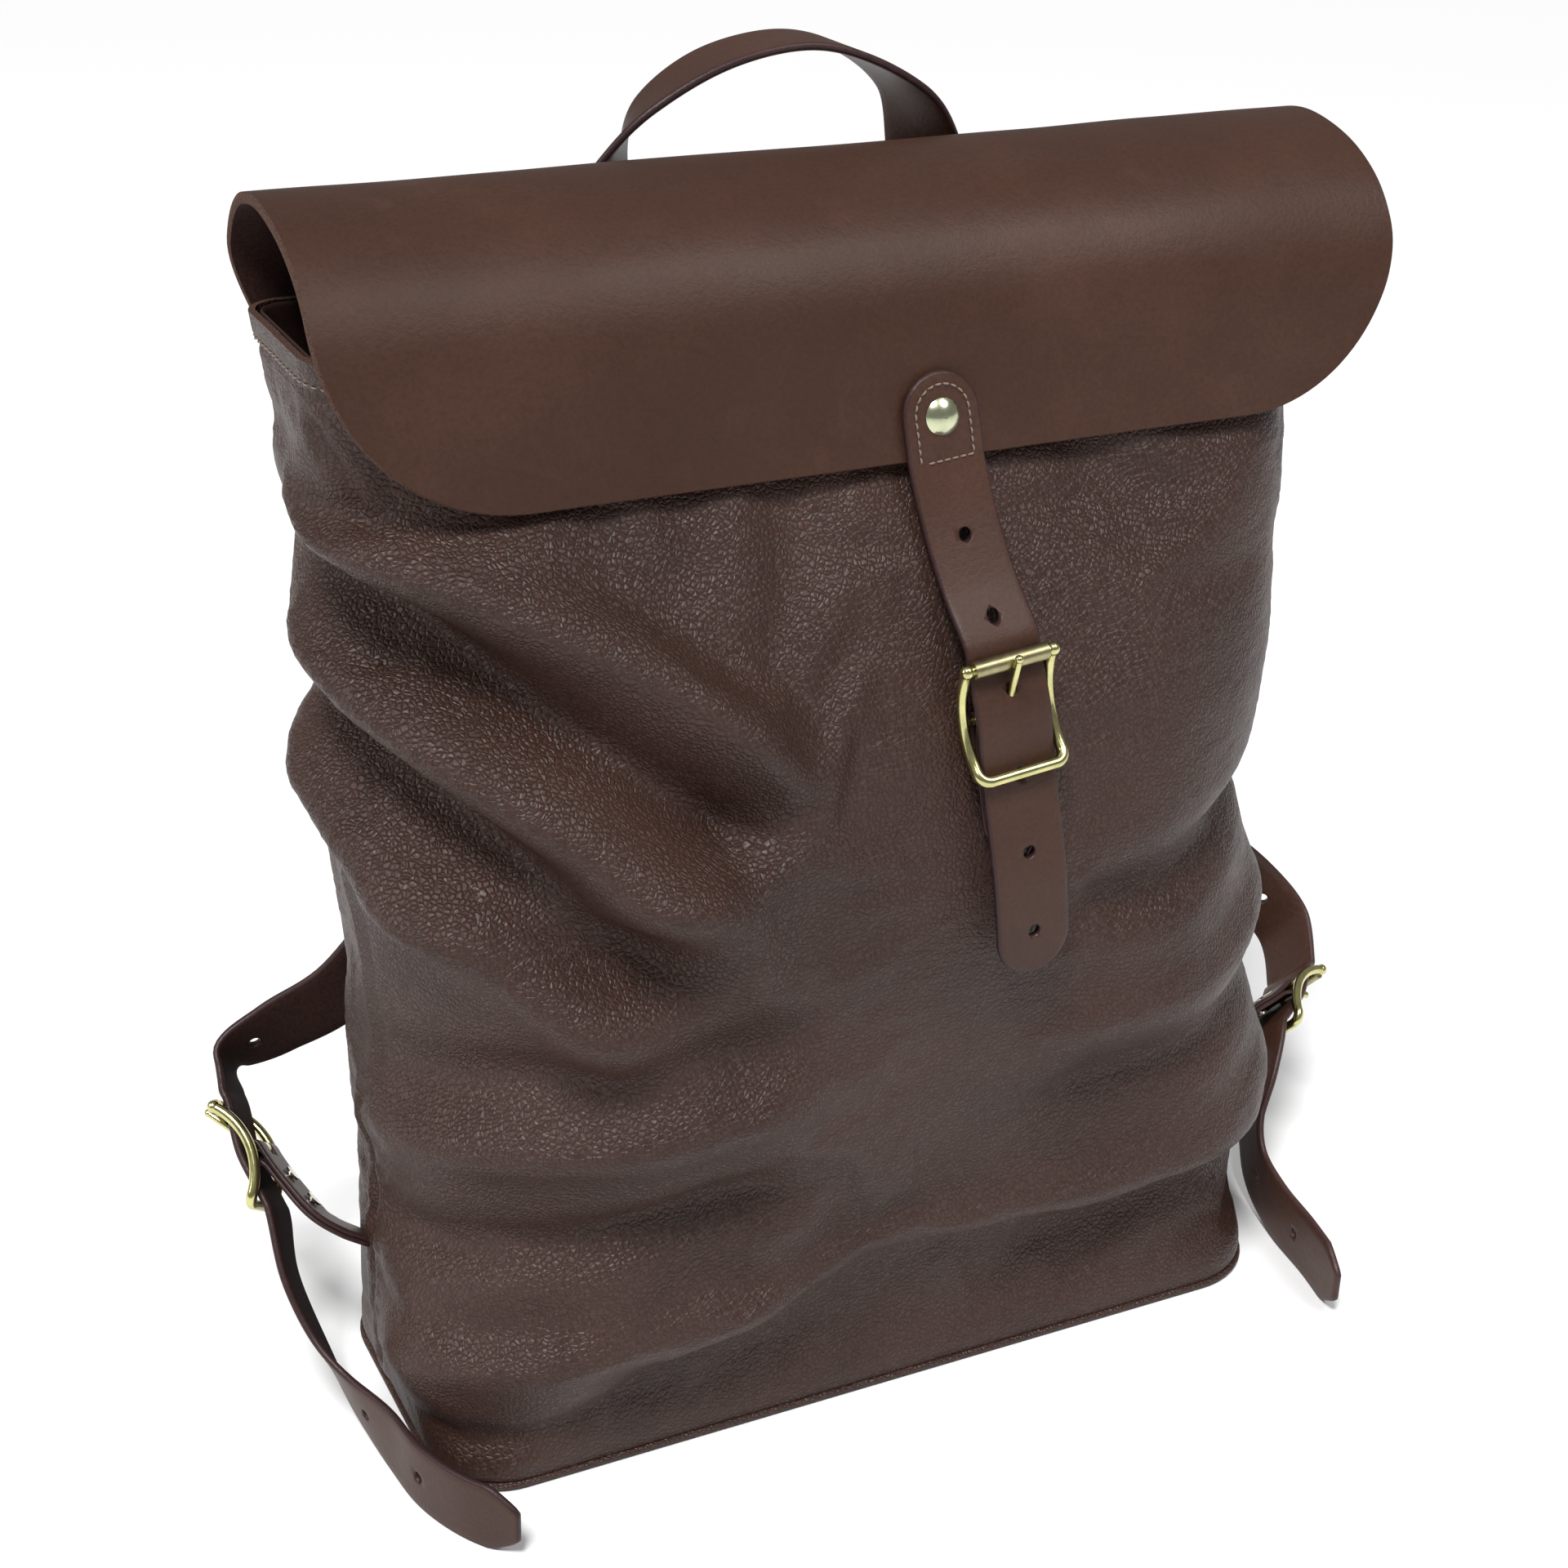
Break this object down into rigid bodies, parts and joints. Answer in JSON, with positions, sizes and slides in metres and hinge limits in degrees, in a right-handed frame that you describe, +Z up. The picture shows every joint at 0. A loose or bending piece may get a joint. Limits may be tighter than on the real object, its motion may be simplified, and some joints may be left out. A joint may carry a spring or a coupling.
{
  "type": "backpack",
  "caption": "Flat-bottomed leather backpack with a one-piece flap, roller-buckle closure strap, carrying handle and two buckled shoulder straps",
  "frame": {"origin": "centre of the underside of the base panel, on the floor", "axes": "+Z up, -Y the front with the flap and the closure strap, +X to the right seen from the front"},
  "size_m": [0.4702, 0.1854, 0.4624],
  "materials": {
    "body_leather": "pebbled, semi-gloss",
    "flap_leather": "smooth waxed",
    "facing_leather": "matt",
    "strap_leather": "smooth, burnished edges",
    "board": "matt fibre board",
    "thread": "waxed thread",
    "brass": "polished",
    "nickel": "polished"
  },
  "bodies": {
    "bag": {"front_panel": "body_leather", "back_panel": "body_leather", "gusset_left": "body_leather", "gusset_right": "body_leather", "base_panel": "body_leather", "base_board": "board", "mouth_facing": "facing_leather", "flap_rear": "flap_leather", "front_chape": "strap_leather", "front_chape_rivets": "brass", "handle_tabs": "strap_leather", "handle_rivets": "brass", "strap_yoke": "strap_leather", "yoke_rivets": "brass"},
    "flap": {"flap_front": "flap_leather", "closure_strap": "strap_leather", "closure_stitching": "thread", "closure_rivet": "brass"},
    "front_buckle_body": {"front_buckle": "brass"},
    "front_roller_body": {"front_roller": "brass"},
    "front_tongue_body": {"front_tongue": "brass"},
    "handle": {"handle_loop": "strap_leather"},
    "left_strap": {"strap_left": "strap_leather", "chape_left": "strap_leather", "chape_rivets_left": "nickel"},
    "left_buckle_body": {"buckle_left": "brass"},
    "left_roller_body": {"roller_left": "brass"},
    "left_tongue_body": {"tongue_left": "brass"},
    "right_strap": {"strap_right": "strap_leather", "chape_right": "strap_leather", "chape_rivets_right": "nickel"},
    "right_buckle_body": {"buckle_right": "brass"},
    "right_roller_body": {"roller_right": "brass"},
    "right_tongue_body": {"tongue_right": "brass"}
  },
  "joints": [
    {"name": "flap_open", "type": "hinge", "parent": "bag", "child": "flap", "pos_m": [0, 0.035, 0.429], "axis": [-1, 0, 0], "range_deg": [0, 95], "deforming": ["closure_strap"]},
    {"name": "handle_lean", "type": "hinge", "parent": "bag", "child": "handle", "pos_m": [0, 0.05575, 0.3974], "axis": [-1, 0, 0], "range_deg": [0, 70], "stiffness_Nm_per_rad": 0.05},
    {"name": "front_buckle_tilt", "type": "hinge", "parent": "bag", "child": "front_buckle_body", "pos_m": [0.01879, -0.08497, 0.2753], "axis": [0.9947, 0, 0.1028], "range_deg": [-10, 12]},
    {"name": "front_roller_spin", "type": "hinge", "parent": "front_buckle_body", "child": "front_roller_body", "pos_m": [0.01677, -0.08858, 0.29485], "axis": [0.9947, 0, 0.1028], "continuous": true},
    {"name": "front_tongue_lift", "type": "hinge", "parent": "front_buckle_body", "child": "front_tongue_body", "pos_m": [0.01879, -0.08497, 0.2753], "axis": [0.9947, 0, 0.1028], "range_deg": [0, 90]},
    {"name": "left_strap_swing", "type": "hinge", "parent": "bag", "child": "left_strap", "pos_m": [-0.174, 0.037, 0.052], "axis": [-0.4566, -0.0447, -0.8885], "range_deg": [0, 50], "deforming": ["strap_left", "chape_left"]},
    {"name": "left_buckle_tilt", "type": "hinge", "parent": "left_strap", "child": "left_buckle_body", "pos_m": [-0.19866, 0.05118, 0.08237], "axis": [-0.4176, -0.6683, 0.6157], "range_deg": [-10, 12]},
    {"name": "left_roller_spin", "type": "hinge", "parent": "left_buckle_body", "child": "left_roller_body", "pos_m": [-0.20729, 0.066, 0.09261], "axis": [-0.4176, -0.6683, 0.6157], "continuous": true},
    {"name": "left_tongue_lift", "type": "hinge", "parent": "left_buckle_body", "child": "left_tongue_body", "pos_m": [-0.19866, 0.05118, 0.08237], "axis": [-0.4176, -0.6683, 0.6157], "range_deg": [0, 90]},
    {"name": "right_strap_swing", "type": "hinge", "parent": "bag", "child": "right_strap", "pos_m": [0.175, 0.018, 0.052], "axis": [-0.4571, 0.1028, 0.8835], "range_deg": [0, 50], "deforming": ["strap_right", "chape_right"]},
    {"name": "right_buckle_tilt", "type": "hinge", "parent": "right_strap", "child": "right_buckle_body", "pos_m": [0.22197, 0.01989, 0.06345], "axis": [-0.3838, 0.5481, -0.7431], "range_deg": [-10, 12]},
    {"name": "right_roller_spin", "type": "hinge", "parent": "right_buckle_body", "child": "right_roller_body", "pos_m": [0.23978, 0.02847, 0.06057], "axis": [-0.3838, 0.5481, -0.7431], "continuous": true},
    {"name": "right_tongue_lift", "type": "hinge", "parent": "right_buckle_body", "child": "right_tongue_body", "pos_m": [0.22197, 0.01989, 0.06345], "axis": [-0.3838, 0.5481, -0.7431], "range_deg": [0, 90]}
  ]
}
